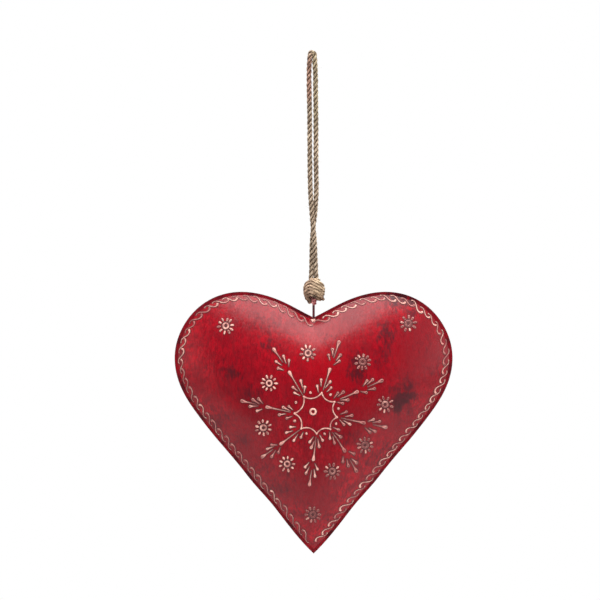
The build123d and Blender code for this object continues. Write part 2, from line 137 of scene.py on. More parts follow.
def place(across, down):
    """X and Z of a place on the grid."""
    return Vector((across - ORIGIN_ACROSS, ORIGIN_DOWN - down)) * GRID_STEP


def in_metres(line):
    """A line of places in millimetres, in metres."""
    return [tuple(value * MM for value in spot) for spot in line]


def limited(value):
    """The value, kept between 0 and 1."""
    return max(0.0, min(1.0, value))


def grey(value):
    return (value, value, value, 1.0)


def colour(values):
    return (*values, 1.0)


class Nodes:
    """A node tree and short ways to add to it."""

    def __init__(self, tree):
        self.tree = tree

    def add(self, kind, values=(), **settings):
        node = self.tree.nodes.new(kind)
        for key, value in settings.items():
            setattr(node, key, value)
        for key, value in dict(values).items():
            self.feed(node, key, value)
        return node

    def feed(self, node, key, value):
        """Sets an input of a node, or links what feeds it."""
        if isinstance(value, bpy.types.NodeSocket):
            self.tree.links.new(value, node.inputs[key])
        else:
            node.inputs[key].default_value = value

    def math(self, operation, first, second=0.0):
        return self.add("ShaderNodeMath", {0: first, 1: second}, operation=operation).outputs[0]


class Finish(Nodes):
    """A material and short ways to add its nodes."""

    def __init__(self, name):
        self.material = bpy.data.materials.new(name)
        self.material.use_nodes = True
        super().__init__(self.material.node_tree)
        self.shader = self.tree.nodes["Principled BSDF"]

    def object_place(self):
        return self.add("ShaderNodeTexCoord").outputs["Object"]

    def attribute(self, name, output="Fac"):
        return self.add("ShaderNodeAttribute", attribute_name=name).outputs[output]

    def stretch(self, vector, scale):
        return self.add("ShaderNodeMapping", {"Vector": vector, "Scale": scale}).outputs["Vector"]

    def noise(self, vector, scale, detail=3.0, roughness=0.55, distortion=0.0):
        return self.add("ShaderNodeTexNoise", {
            "Vector": vector, "Scale": scale, "Detail": detail, "Roughness": roughness,
            "Distortion": distortion}).outputs["Fac"]

    def ramp(self, value, low, high, out_low=0.0, out_high=1.0):
        """A smooth step from one number to another as the value goes from low to high."""
        return self.add("ShaderNodeMapRange", {
            "Value": value, "From Min": low, "From Max": high, "To Min": out_low, "To Max": out_high},
            interpolation_type="SMOOTHSTEP").outputs["Result"]

    def stirred(self, value, texture, share):
        """A value that a texture moves up and down about itself."""
        return self.math("ADD", value, self.math("MULTIPLY", self.math("SUBTRACT", texture, 0.5), share))

    def distance(self, spot, across, down, half_width, half_height):
        """Distance from a place on the front: 1 all round the oval with these halves in millimetres."""
        x, z = place(across, down)
        wide, high = half_width * MM, half_height * MM
        away = self.add("ShaderNodeMapping", {
            "Vector": spot, "Location": (-x / wide, 0, -z / high), "Scale": (1 / wide, 0, 1 / high)})
        return self.add("ShaderNodeVectorMath", {0: away.outputs["Vector"]}, operation="LENGTH").outputs["Value"]

    def mix(self, factor, first, second):
        return self.add("ShaderNodeMix", {0: factor, 6: first, 7: second}, data_type="RGBA").outputs[2]

    def veiled(self, under, over, value, low, high, most=1.0):
        """One colour over another, as much as a value has come from low to high."""
        return self.mix(self.ramp(value, low, high, 0.0, most), under, over)

    def bump(self, height, strength, distance, **under):
        return self.add("ShaderNodeBump", {
            "Height": height, "Strength": strength, "Distance": distance, **under}).outputs["Normal"]

    def to_shader(self, **values):
        """Feeds the shader's inputs, and gives the material."""
        for key, value in values.items():
            self.feed(self.shader, key.replace("_", " "), value)
        return self.material


# Paint: places across and down on the grid, with half a width and half a height in millimetres
# Painted dark reflection: a clearer, deeper red in the middle of the front, where the face mirrors the dark space
# before it
DARK_REFLECTION_SPOT = (328, 372, 75, 48)
DARK_REFLECTION_RED = (0.40, 0.001, 0.007, 1)
BARE_STREAK = (0.075, 0.004, 0.010, 1)
# The worn spots, each with its strength at the end
WORN_SPOTS = (
    (402, 400, 13, 16, 0.6), (397, 404, 7, 9, 1.15), (402, 398, 9, 7, 1.15), (409, 396, 8, 4.5, 1.1),
    (403, 387, 12, 9, 0.7), (386, 336, 8, 13, 0.85), (384, 356, 10, 14, 0.5), (403, 302, 14, 9, 0.75),
    (411, 312, 9, 9, 0.45), (357, 369, 10, 16, 0.8), (436, 369, 7, 9, 0.45), (231, 373, 13, 11, 0.55),
    (205.6, 367.2, 2.2, 2.2, 0.9), (266, 344, 11, 12, 0.5), (262, 324, 15, 8, 0.35), (222, 421, 12, 11, 0.5),
    (252, 393, 13, 9, 0.45), (281, 486, 15, 13, 0.5), (262, 468, 10, 9, 0.5), (242, 437, 11, 10, 0.45),
    (350, 436, 13, 10, 0.42), (366, 460, 12, 11, 0.45), (340, 492, 14, 12, 0.45), (384, 452, 12, 12, 0.5),
    (329, 522, 9, 9, 0.5), (300, 506, 9, 13, 0.4), (425, 340, 9, 11, 0.2), (328, 341, 12, 7, 0.42),
    (399, 296, 16, 4.5, 1.25), (412, 301, 9, 5, 1.0), (300, 437, 12, 10, 0.3), (216, 416, 13, 10, 0.45),
    (352, 392, 11, 10, 0.5), (180, 340, 8, 14, 0.3),
)


def worn_red_paint(settings, name, front):
    """Brushed red paint, deep red streaks, rubbed dark patches and a rubbed edge. On the front, a clearer, deeper
    red in the middle is a painted dark reflection.
    """
    finish = Finish(name)
    spot = finish.object_place()
    brush = finish.noise(finish.stretch(spot, (300, 300, 90)), 1.0, 5.0, 0.7, 0.2)
    fine_brush = finish.noise(finish.stretch(spot, (850, 850, 170)), 1.0, 3.0, 0.6)
    cloud = finish.noise(spot, 34.0, 5.0, 0.6, 0.3)
    wash = finish.noise(spot, 17.0, 3.0, 0.55)
    mottle = finish.noise(spot, 330.0, 4.0, 0.65)
    drift = finish.noise(spot, 105.0, 4.0, 0.6, 0.4)
    speckle = finish.noise(spot, 900.0, 3.0, 0.65)
    deep_red = colour(settings.deep_red)
    red = finish.veiled(deep_red, colour(settings.red), wash, 0.32, 0.66)
    for texture, low, high, share in (
        (cloud, 0.40, 0.72, 0.55), (brush, 0.45, 0.70, 0.6), (fine_brush, 0.46, 0.62, 0.75),
        (mottle, 0.44, 0.62, 0.75), (drift, 0.46, 0.64, 0.6),
    ):
        red = finish.veiled(red, deep_red, texture, low, high, share)
    torn = finish.math("MULTIPLY", finish.ramp(cloud, 0.56, 0.76), finish.ramp(wash, 0.60, 0.40, 0.0, 0.8))
    if front:
        # Painted dark reflection: a clearer, deeper red in the middle of the front
        dark_reflection = finish.stirred(finish.distance(spot, *DARK_REFLECTION_SPOT), cloud, 1.2)
        red = finish.veiled(red, DARK_REFLECTION_RED, dark_reflection, 0.75, 0.05, 0.48)
        for *oval, strength in WORN_SPOTS:
            near = finish.ramp(finish.distance(spot, *oval), 1.3, 0.1, 0.0, strength)
            torn = finish.math("MAXIMUM", torn, near)
    for texture, share in ((brush, 0.7), (fine_brush, 1.7), (mottle, 1.0), (drift, 1.0)):
        torn = finish.stirred(torn, texture, share)
    worn = finish.ramp(torn, 0.18, 1.08, 0.0, 0.95)
    depth = finish.math("ABSOLUTE", finish.add("ShaderNodeSeparateXYZ", {0: spot}).outputs["Y"])
    edge = finish.ramp(finish.stirred(depth, drift, 1.3 * MM), 1.0 * MM, 0.6 * MM, 0.0, 0.85)
    dark = finish.math("MAXIMUM", worn, edge)
    bare = finish.veiled(colour(settings.wear), BARE_STREAK, finish.math("ADD", fine_brush, mottle), 0.85, 1.15)
    roughness = finish.math("ADD", finish.ramp(brush, 0.3, 0.7, 0.23, 0.32), finish.math("MULTIPLY", dark, 0.06))
    normal = finish.bump(finish.noise(spot, 22.0, 2.0, 0.4), 0.25, 1.6 * MM)
    normal = finish.bump(brush, 0.40, 0.35 * MM, Normal=normal)
    normal = finish.bump(finish.math("ADD", fine_brush, speckle), 0.18, 0.08 * MM, Normal=normal)
    return finish.to_shader(Base_Color=finish.mix(dark, red, bare), Roughness=roughness, Normal=normal,
                            Specular_IOR_Level=0.27)


STAINED_PASTE = (0.55, 0.12, 0.11, 1)
FADED_PASTE = (0.40, 0.075, 0.075, 1)
DARK_GLAZE = (0.085, 0.004, 0.006, 1)
BARE_CROWN = (0.12, 0.02, 0.02, 1)


def worn_paste(settings):
    """Cream paste, stained with red, its crowns rubbed dark where it is worn."""
    finish = Finish("raised_paste")
    spot = finish.object_place()
    grain = finish.noise(spot, 1500.0, 3.0, 0.6)
    stain = finish.noise(spot, 420.0, 3.0, 0.6)
    drift = finish.noise(spot, 60.0, 2.0, 0.5)
    crown = finish.attribute("crown")
    rubbed = finish.attribute("rubbed")
    mask = finish.math("ADD", finish.ramp(stain, 0.42, 0.72, 0.0, 0.65), finish.ramp(drift, 0.45, 0.75, 0.0, 0.3))
    surface = finish.mix(mask, colour(settings.paste), STAINED_PASTE)
    faded = finish.stirred(rubbed, finish.noise(spot, 330.0, 2.0, 0.5), 2.0)
    surface = finish.veiled(surface, FADED_PASTE, faded, 0.2, 0.9, 0.75)
    surface = finish.veiled(surface, DARK_GLAZE, crown, 0.5, 0.1)
    bare = finish.math("MULTIPLY", finish.ramp(crown, 0.62, 0.95),
                       finish.ramp(finish.stirred(rubbed, stain, 1.0), 0.3, 0.85))
    return finish.to_shader(Base_Color=finish.mix(bare, surface, BARE_CROWN), Roughness=0.55,
                            Normal=finish.bump(grain, 0.35, 0.12 * MM))


# The heights in millimetres between which the twist's pale pink sets in, from below and from above: worn paint with
# a painted highlight
TWIST_WEAR_AND_SHEEN = ((-163.4, -161.6), (-156.8, -158.4))


def painted_wire():
    """Dark red paint; where the end is twisted round the stem, a pale pink that is partly worn paint and partly a
    painted highlight.
    """
    finish = Finish("painted_wire")
    spot = finish.object_place()
    flow = finish.noise(finish.stretch(spot, (600, 600, 200)), 1.0, 3.0)
    height = finish.add("ShaderNodeSeparateXYZ", {0: spot}).outputs["Z"]
    above, below = (finish.ramp(height, start * MM, end * MM) for start, end in TWIST_WEAR_AND_SHEEN)
    twist = finish.math("MULTIPLY", above, below)
    stem = finish.veiled((0.030, 0.004, 0.008, 1), (0.11, 0.008, 0.015, 1), flow, 0.4, 0.65)
    # Pale pink of the twist: partly worn paint, partly a painted highlight
    bulge_wear_and_sheen = finish.veiled((0.50, 0.12, 0.13, 1), (0.85, 0.36, 0.34, 1), flow, 0.35, 0.6)
    return finish.to_shader(Base_Color=finish.mix(twist, stem, bulge_wear_and_sheen), Roughness=0.42,
                            Normal=finish.bump(flow, 0.4, 0.1 * MM))


def dull_solder():
    """Frosted grey metal."""
    finish = Finish("dull_solder")
    frost = finish.noise(finish.object_place(), 700.0, 4.0)
    surface = finish.mix(frost, (0.30, 0.30, 0.31, 1), (0.60, 0.60, 0.60, 1))
    return finish.to_shader(Base_Color=surface, Metallic=1.0, Roughness=finish.ramp(frost, 0.3, 0.7, 0.35, 0.6),
                            Normal=finish.bump(frost, 0.5, 0.2 * MM))


PALE_HAIR = (0.84, 0.68, 0.47, 1)
PALE_BLOTCH = (0.78, 0.65, 0.48, 1)
GAP_SHADE = (0.055, 0.032, 0.016, 1)
PLY_GAP = (0.09, 0.058, 0.036, 1)


def jute(settings, name, stretch, lay=0.0):
    """Dull jute: pale fibres along each strand, dark between them, coloured along the cord, with painted shade
    where strands dip between others and in the knot's hollow.

    The stretch is how fast the fibres change along the strand. With a lay, three plies
    wind round the strand."""
    finish = Finish(name)
    around = finish.add("ShaderNodeUVMap", uv_map="strand").outputs["UV"]
    fibre = finish.noise(finish.stretch(around, (14, 260 * stretch, 1)), 1.0, 4.0, 0.7, 0.4)
    hair = finish.noise(finish.stretch(around, (46, 700 * stretch, 1)), 1.0, 3.0, 0.7)
    dark = colour(settings.dark)
    pale = finish.veiled(dark, colour(settings.light), fibre, 0.34, 0.66)
    pale = finish.veiled(pale, PALE_HAIR, hair, 0.48, 0.72, 0.6)
    blotch = finish.noise(finish.object_place(), 520.0, 2.0, 0.55)
    pale = finish.veiled(pale, dark, blotch, 0.52, 0.66, 0.6)
    pale = finish.veiled(pale, PALE_BLOTCH, blotch, 0.46, 0.34, 0.6)
    # Painted shade where a strand dips between the others
    pale = finish.veiled(pale, GAP_SHADE, finish.attribute("gap_shade"), 0.0, 0.9, 0.92)
    height = finish.math("ADD", fibre, hair)
    if lay:
        plies = finish.add("ShaderNodeTexWave", {
            "Vector": finish.stretch(around, (3 * FULL_TURN / 20, FULL_TURN / 20 / lay, 1)), "Scale": 1.0},
            wave_type="BANDS", bands_direction="DIAGONAL").outputs["Fac"]
        pale = finish.veiled(pale, PLY_GAP, plies, 0.5, 0.05, 0.65)
        height = finish.math("ADD", height, finish.math("MULTIPLY", plies, 1.5))
    tinted_and_shaded = finish.add("ShaderNodeMix", {0: 1.0, 6: pale, 7: finish.attribute("tint", "Color")},
                        data_type="RGBA", blend_type="MULTIPLY")
    return finish.to_shader(Base_Color=tinted_and_shaded.outputs[2], Roughness=0.92,
                            Normal=finish.bump(height, 0.6, 0.25 * MM))


# Cords and strands
def bend(spline, corners, resolution):
    """Bends a spline into a smooth open line with these corners, each with its radius."""
    spline.points.add(len(corners) - len(spline.points))
    for point, (*spot, radius) in zip(spline.points, corners):
        point.co = (*spot, 1.0)
        point.radius = radius
    spline.order_u = 3
    spline.use_endpoint_u = True
    spline.resolution_u = resolution


def spline_points(corners):
    """Points along the smooth open line of a route."""
    curve = bpy.data.curves.new("route", "CURVE")
    curve.dimensions = "3D"
    bend(curve.splines.new("NURBS"), [(*corner, 1.0) for corner in corners], 24)
    holder = bpy.data.objects.new("route", curve)
    bpy.context.scene.collection.objects.link(holder)
    bpy.context.view_layer.update()
    read = holder.evaluated_get(bpy.context.evaluated_depsgraph_get())
    mesh = bpy.data.meshes.new_from_object(read)
    points = [vertex.co.copy() for vertex in mesh.vertices]
    bpy.data.meshes.remove(mesh)
    bpy.data.objects.remove(holder)
    bpy.data.curves.remove(curve)
    return points


def runs_along(points):
    """How far along a line each of its points is."""
    runs = [0.0]
    for before, after in zip(points, points[1:]):
        runs.append(runs[-1] + (after - before).length)
    return runs


def spot_along(points, runs, target):
    """Where a line has come so far: the number of the point before, and the place."""
    index = max(0, min(bisect.bisect_left(runs, target), len(runs) - 1) - 1)
    share = (target - runs[index]) / max(runs[index + 1] - runs[index], 1e-9)
    return index, points[index].lerp(points[index + 1], min(share, 1.0))


def route_points(corners, step):
    """Points at even steps along the smooth line of a route in millimetres."""
    points = spline_points([Vector(corner) * MM for corner in corners])
    runs = runs_along(points)
    count = max(2, round(runs[-1] / step))
    return [spot_along(points, runs, runs[-1] * number / count)[1] for number in range(count + 1)]


def line_frames(points):
    """Along, side and up at each point, turned no more than the line turns."""
    frames = []
    side = None
    for index, point in enumerate(points):
        before = points[max(index - 1, 0)]
        after = points[min(index + 1, len(points) - 1)]
        along = (after - before).normalized()
        if side is None:
            side = along.orthogonal().normalized()
        side = (side - along * side.dot(along)).normalized()
        frames.append((along, side, along.cross(side)))
    return frames


class StrandMesh:
    """Gathers tubes into one mesh with a map round and along each strand, a colour that on the knot carries painted
    shade as well, and painted shade where strands dip between others.
    """

    def __init__(self):
        self.vertices, self.faces, self.maps, self.tints, self.gaps = [], [], [], [], []

    def tube(self, line, radius_at, sides, tint_and_shade_at, gap_shade_at=None):
        """Adds a closed tube along a line."""
        first = len(self.vertices)
        runs = runs_along(line)
        for index, (point, (_, side, up)) in enumerate(zip(line, line_frames(line))):
            for corner in range(sides):
                angle = FULL_TURN * corner / sides
                radius = radius_at(index, angle)
                outward = side * math.cos(angle) + up * math.sin(angle)
                self.vertices.append(point + outward * radius)
                self.tints += (*tint_and_shade_at(point), 1.0)
                self.gaps.append(gap_shade_at(index, outward) if gap_shade_at else 0.0)
        for index in range(len(line) - 1):
            for corner in range(sides):
                after = (corner + 1) % sides
                low = first + index * sides
                self.faces.append((low + corner, low + after, low + sides + after, low + sides + corner))
                near, far = corner / sides, (corner + 1) / sides
                self.maps += (near, runs[index], far, runs[index], far, runs[index + 1], near, runs[index + 1])
        last = first + (len(line) - 1) * sides
        self.faces.append(tuple(first + corner for corner in reversed(range(sides))))
        self.faces.append(tuple(last + corner for corner in range(sides)))
        self.maps += (0.0, 0.0) * sides + (0.0, runs[-1]) * sides

    def piece(self, name, material):
        """Makes the object of all that was added."""
        mesh = bpy.data.meshes.new(name)
        mesh.from_pydata(self.vertices, [], self.faces)
        mesh.uv_layers.new(name="strand").data.foreach_set("uv", self.maps)
        mesh.attributes.new("tint", "FLOAT_COLOR", "POINT").data.foreach_set("color", self.tints)
        mesh.attributes.new("gap_shade", "FLOAT", "POINT").data.foreach_set("value", self.gaps)
        mesh.shade_smooth()
        piece = bpy.data.objects.new(name, mesh)
        dress(piece, material)
        bpy.context.scene.collection.objects.link(piece)
        return piece


ROPE_STRANDS = 3
STRAND_SIDES = 14


def swelling(chance, low, high, count, step):
    """The thickness at each of a strand's points, drawn anew at every step of them."""
    sizes = [chance.uniform(low, high) for _ in range(count // step + 2)]

    def size_at(index):
        before = index // step
        return sizes[before] + (sizes[before + 1] - sizes[before]) * (index / step - before)

    return size_at


def lay_rope(mesh, points, diameter, lay, tint_and_shade_at, chance):
    """Lays strands round a line as a twisted rope. Each strand has yarn ridges of its own."""
    spread = 1 / math.sin(math.pi / ROPE_STRANDS)
    strand_radius = diameter / 2 / (1 + spread)
    turn_radius = strand_radius * spread
    frames = line_frames(points)
    steps = runs_along(points)
    for strand in range(ROPE_STRANDS):
        line = []
        centres = []
        for point, (_, side, up), run in zip(points, frames, steps):
            angle = FULL_TURN * (strand / ROPE_STRANDS + run / lay)
            outward = side * math.cos(angle) + up * math.sin(angle)
            line.append(point + outward * turn_radius)
            centres.append(outward)
        size_at = swelling(chance, 0.88, 1.10, len(points), 12)

        def radius_at(index, angle):
            yarn = abs(math.cos(1.5 * angle + steps[index] / lay * FULL_TURN * 1.7 + strand))
            return strand_radius * 1.04 * size_at(index) * (0.86 + 0.14 * yarn)

        # Painted shade where a strand faces in towards the others
        def gap_shade_at(index, outward):
            return limited(0.92 - 1.33 * outward.dot(centres[index]))

        mesh.tube(line, radius_at, STRAND_SIDES, tint_and_shade_at, gap_shade_at)


def wind_strand(mesh, points, diameter, middle, tint_and_shade_at, chance):
    """One strand wound round a ball, with painted shade where it dips between its neighbours."""
    size_at = swelling(chance, 0.92, 1.10, len(points), 9)

    def gap_shade_at(index, outward):
        return limited(1.5 - 1.65 * outward.dot((points[index] - middle).normalized()))

    mesh.tube(points, lambda index, _: diameter / 2 * size_at(index), STRAND_SIDES, tint_and_shade_at, gap_shade_at)


HAIR_PLACES = (0.0, 0.33, 0.66, 1.0)
HAIR_TAPER = (1.0, 0.8, 0.6, 0.25)


def loose_hairs(mesh, points, diameter, count, longest, tint, chance):
    """Fine fibres that stand off a rope, each a thin bent spike."""
    frames = line_frames(points)
    for _ in range(count):
        index = chance.randrange(len(points))
        along, side, up = frames[index]
        angle = chance.uniform(0, FULL_TURN)
        outward = side * math.cos(angle) + up * math.sin(angle)
        start = points[index] + outward * diameter * 0.40
        length = longest * chance.uniform(0.35, 1.0) ** 1.5
        lean = along * chance.uniform(-1.4, 1.4) + outward * chance.uniform(0.35, 1.0)
        curl = side * chance.uniform(-0.5, 0.5) + up * chance.uniform(-0.5, 0.5)
        lean.normalize()
        line = [start + lean * length * t + curl * length * t * t for t in HAIR_PLACES]
        thick = chance.uniform(0.030, 0.055) * MM
        mesh.tube(line, lambda step, _: thick * HAIR_TAPER[step], 3, lambda _: tint)


# Route of the cord loop, from the knot up over the nail and down again, in millimetres
CORD_ROUTE = (
    (1.6, 0.0, -145.8), (1.35, -0.5, -140.0), (1.1, -0.9, -133.0), (0.7, -1.75, -122.0), (-0.4, -2.1, -111.0),
    (-1.4, -1.4, -100.0), (-2.1, -0.2, -88.0), (-2.5, 0.2, -66.0), (-2.5, -0.1, -42.0),
    (-2.9, 0.1, -20.0), (-3.0, 0.0, -10.0), (-2.65, 0.0, -3.6), (-2.25, 0.0, 1.8), (0.35, 0.0, 1.8),
    (0.75, 0.0, -3.6), (1.2, 0.0, -10.0), (1.3, -0.1, -22.0), (1.6, 0.1, -44.0), (1.5, -0.2, -66.0),
    (1.9, 0.3, -88.0), (1.2, 1.4, -100.0), (-0.1, 2.1, -111.0), (-1.1, 1.75, -122.0),
    (-1.2, 0.9, -133.0), (-1.35, 0.5, -140.0), (-1.6, 0.0, -145.8),
)
RUST_TINT = Vector((0.86, 0.62, 0.62))
TAN_TINT = Vector((0.96, 0.93, 0.92))
OLIVE_TINT = Vector((0.84, 0.86, 0.74))


def cord_tint(point):
    """Reddish brown on the upper left leg, olive on the upper right one, tan elsewhere."""
    height = point.z / MM
    wave = 0.5 + 0.5 * math.sin(height * 0.21 + (1.3 if point.x > 0 else 0.0))
    if point.x < -0.6 * MM:
        other, share = RUST_TINT, limited((height + 34) / 8) * limited((2 - height) / 6)
    else:
        other, share = OLIVE_TINT, limited((height + 60) / 20) * 0.8
    return TAN_TINT.lerp(other, share) * (0.90 + 0.16 * wave)


class HEART_OT_cord_loop(bpy.types.Operator):
    """Lay the jute cord loop, its legs crossing once above the knot."""

    bl_idname = "tin_heart.cord_loop"
    bl_label = "Cord loop"

    def execute(self, context):
        settings = context.scene.heart_cord
        chance = random.Random(11)
        points = route_points(CORD_ROUTE, 0.34 * MM)
        rope = StrandMesh()
        lay_rope(rope, points, settings.diameter, settings.lay, cord_tint, chance)
        material = jute(settings, "jute_cord", 1.0)
        loop = rope.piece("cord_loop_laid", material)
        hairs = StrandMesh()
        loose_hairs(hairs, points, settings.diameter, 420, 2.6 * MM, (1.15, 1.1, 0.98), chance)
        fuzz = hairs.piece("cord_loop_hairs", material)
        for piece in (loop, fuzz):
            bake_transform(piece)
        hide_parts("cord_loop")
        tuple(points[0])
        runs_along(points)[-1]
        return {"FINISHED"}


# Knot, in millimetres: its middle, the form of the ball, and the turns with their peak
KNOT_MIDDLE = -153.0
KNOT_ASIDE = 0.35
BALL_HALF_HEIGHT = 7.5
BALL_RADIUS = 6.25
BALL_POWER = 2.2
KNOT_TURNS = 6.3
TURN_CORNERS = 18
TOP_TURN = 6.2
LOW_TURN = -5.6
TURNS_FALL = 11.7
PEAK_BEARING = math.radians(-24)
PEAK_LIFT = 5.4
PEAK_REACH = 1.7


def ball_radius(height):
    """Radius of the round knot at a height from its middle."""
    share = min(abs(height) / BALL_HALF_HEIGHT, 0.97)
    return BALL_RADIUS * (1 - share ** BALL_POWER) ** (1 / BALL_POWER)


def on_ball(bearing, radius, height):
    """A place round the knot's axis, with its bearing in degrees from the front."""
    angle = math.radians(bearing)
    return (KNOT_ASIDE + radius * math.sin(angle), -radius * math.cos(angle), height)


def knot_strand_route():
    """Turns round the ball that rise to a peak left of the middle of the front."""
    corners = []
    count = int(KNOT_TURNS * TURN_CORNERS)
    for number in range(count + 1):
        bearing = FULL_TURN * number / TURN_CORNERS
        away = (bearing - PEAK_BEARING + math.pi) % FULL_TURN - math.pi
        lift = PEAK_LIFT * (0.5 - min(math.sqrt(away ** 2 + 0.03), PEAK_REACH) / PEAK_REACH)
        height = max(LOW_TURN, min(TOP_TURN, TOP_TURN - TURNS_FALL * number / count + lift))
        tuck = 0.4 * math.exp(-((away + 0.30) / 0.30) ** 2)
        corners.append(on_ball(math.degrees(bearing), ball_radius(height) - tuck, KNOT_MIDDLE + height))
    return corners


COLLAR_ROUTE = tuple(
    on_ball(turn, 3.1 + 0.6 * turn / 400, -146.0 - 1.8 * turn / 400) for turn in range(-60, 400, 30))
BACK_ROUTE = tuple(on_ball(*spot) for spot in (
    (70, 5.2, -149.6), (100, 5.5, -149.9), (130, 5.7, -150.3), (165, 5.8, -150.2), (200, 5.8, -149.9),
    (235, 5.6, -149.6), (270, 5.4, -149.3), (295, 5.1, -148.9)))
UNDER_ROUTE = tuple(on_ball(*spot) for spot in (
    (-70, 5.4, -155.8), (-60, 5.3, -157.4), (-54, 5.0, -158.6), (-62, 5.1, -158.9), (-80, 5.2, -158.4),
    (-100, 5.2, -157.8), (-140, 4.6, -157.9), (180, 4.2, -157.7), (140, 4.3, -157.9), (100, 5.0, -158.1),
    (64, 4.9, -158.9), (46, 4.6, -159.2), (42, 4.9, -158.0), (46, 5.1, -156.6)))
INNER_ROUTE = tuple(on_ball(*spot) for spot in (
    (-58, 5.2, -156.4), (-45, 4.9, -157.8), (-35, 4.7, -159.4), (-33, 4.6, -160.7), (-40, 4.7, -161.2),
    (-50, 4.75, -160.2), (-62, 5.0, -158.4), (-70, 5.1, -156.8)))
TAIL_ROUTE = ((3.2, -4.6, -155.2), (4.5, -4.5, -156.8), (5.7, -3.7, -158.2), (6.5, -3.0, -159.2))


RIGHT_TINT = Vector((1.34, 1.27, 1.15))
LEFT_TINT = Vector((1.32, 1.14, 1.09))
LOW_TINT = Vector((0.80, 0.64, 0.57))


def knot_tint_and_shade(point):
    """Pale above, redder on the left, darker and redder towards the bottom, with painted shade in the hollow over
    the wire.
    """
    low = limited((-153.5 - point.z / MM) / 5)
    left = limited(0.5 - point.x / MM / 6)
    # Painted shade in the hollow over the wire, on the front turns only
    hollow = ((point.x / MM - 0.6) / 1.7) ** 2 + ((point.z / MM + 157.0) / 1.5) ** 2
    shade = 1 - 0.8 * math.exp(-hollow) if point.y < 0 else 1.0
    return RIGHT_TINT.lerp(LEFT_TINT, left).lerp(LOW_TINT, low) * shade


class HEART_OT_knot(bpy.types.Operator):
    """Tie the round knot: crossed turns over a packed core, a bight through the eye and a cut tail."""

    bl_idname = "tin_heart.knot"
    bl_label = "Knot"

    def execute(self, context):
        settings = context.scene.heart_cord
        chance = random.Random(23)
        material = jute(settings, "jute_knot", 1.0, 5.5 * MM)
        thick = settings.knot_strand
        turns = StrandMesh()
        hairs = StrandMesh()
        middle = Vector((KNOT_ASIDE, 0, KNOT_MIDDLE)) * MM
        for route, share in ((knot_strand_route(), 1.0), (COLLAR_ROUTE, 0.85), (BACK_ROUTE, 1.0),
                             (UNDER_ROUTE, 0.9), (INNER_ROUTE, 0.85), (TAIL_ROUTE, 0.95)):
            points = route_points(route, 0.3 * MM)
            wind_strand(turns, points, thick * share, middle, knot_tint_and_shade, chance)
            loose_hairs(hairs, points, thick, len(points) // 5, 1.6 * MM, (1.25, 1.15, 1.02), chance)
        wound = turns.piece("knot_turns", material)
        fuzz = hairs.piece("knot_hairs", material)
        core = added(bpy.ops.mesh.primitive_uv_sphere_add, "knot_packing", segments=40, ring_count=24,
                     radius=5.0 * MM, location=(0, 0.6 * MM, -151.6 * MM), scale=(1.0, 0.9, 0.98))
        bpy.ops.object.transform_apply(location=True, rotation=True, scale=True)
        bpy.ops.object.shade_smooth()
        core.data.uv_layers[0].name = "strand"
        tint = core.data.attributes.new("tint", "FLOAT_COLOR", "POINT")
        tint.data.foreach_set("color", (0.5, 0.42, 0.36, 1.0) * len(tint.data))
        dress(core, jute(settings, "jute_packing", 0.02))
        for piece in (wound, fuzz, core):
            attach(piece, "knot")
        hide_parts("knot_winding", "cord_bight")
        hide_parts("knot_core")
        return {"FINISHED"}


# Wire, in millimetres: the height of the eye's middle, the radius of its line, the thickness, and
# the twist of the end round the stem
PIVOT = -155.6
EYE = 2.6
WIRE = 1.6
TWIST_RADIUS = 1.5
TWIST_TOP = -158.9
TWIST_FALL = 0.235
TWIST_THINNER = 0.12
TWIST_POINTS = 60


def wire_corners():
    """The foot in its solder, the stem, the eye and the twist, one after the other."""
    foot_low, foot_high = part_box("wire_solder")
    foot = (foot_low + foot_high) / 2 / MM
    corners = [(0, foot.y - 0.2, foot.z - 4.0), (0, foot.y - 0.2, foot.z), (0, foot.y - 0.9, foot.z + 4.0)]
    corners += [(0, 0.4, -180.5), (0, 0, -176.0), (0, 0, -171.0), (0, 0, -165.0), (0, 0, -160.4)]
    for step in range(-1, 12):
        angle = math.radians(-90 + 30 * step)
        sway = 0.12 * step - 0.5
        corners.append((EYE * math.cos(angle), sway * 0.5, PIVOT + EYE * math.sin(angle)))
    for step in range(2, 16):
        angle = math.radians(-90 + 60 * step)
        corners.append((TWIST_RADIUS * math.cos(angle), -TWIST_RADIUS * math.sin(angle),
                        TWIST_TOP - TWIST_FALL * (step - 2)))
    return corners


class HEART_OT_wire(bpy.types.Operator):
    """Bend the wire: its foot, stem, eye and the end twisted round the stem."""

    bl_idname = "tin_heart.wire"
    bl_label = "Wire hanger"

    def execute(self, context):
        points = route_points(wire_corners(), 0.25 * MM)
        metal = StrandMesh()
        twist_start = len(points) - TWIST_POINTS
        metal.tube(points, lambda index, _: (WIRE / 2 - (TWIST_THINNER if index > twist_start else 0)) * MM,
                   STRAND_SIDES, lambda _: (1, 1, 1))
        wire = metal.piece("wire_hanger", painted_wire())
        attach(wire, "heart")
        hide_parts("hanger_wire")
        return {"FINISHED"}


class HEART_OT_shells(bpy.types.Operator):
    """Paint the two shells and the seam, and leave the solder inside bare."""

    bl_idname = "tin_heart.shells"
    bl_label = "Painted shells"

    def execute(self, context):
        settings = context.scene.heart_paint
        finishes = {
            "front_shell": worn_red_paint(settings, "worn_red_front", True),
            "back_shell": worn_red_paint(settings, "worn_red_back", False),
            "wire_solder": dull_solder(),
        }
        finishes["seam_solder"] = finishes["back_shell"]
        for node, material in finishes.items():
            dress(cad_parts[node], material)
        return {"FINISHED"}


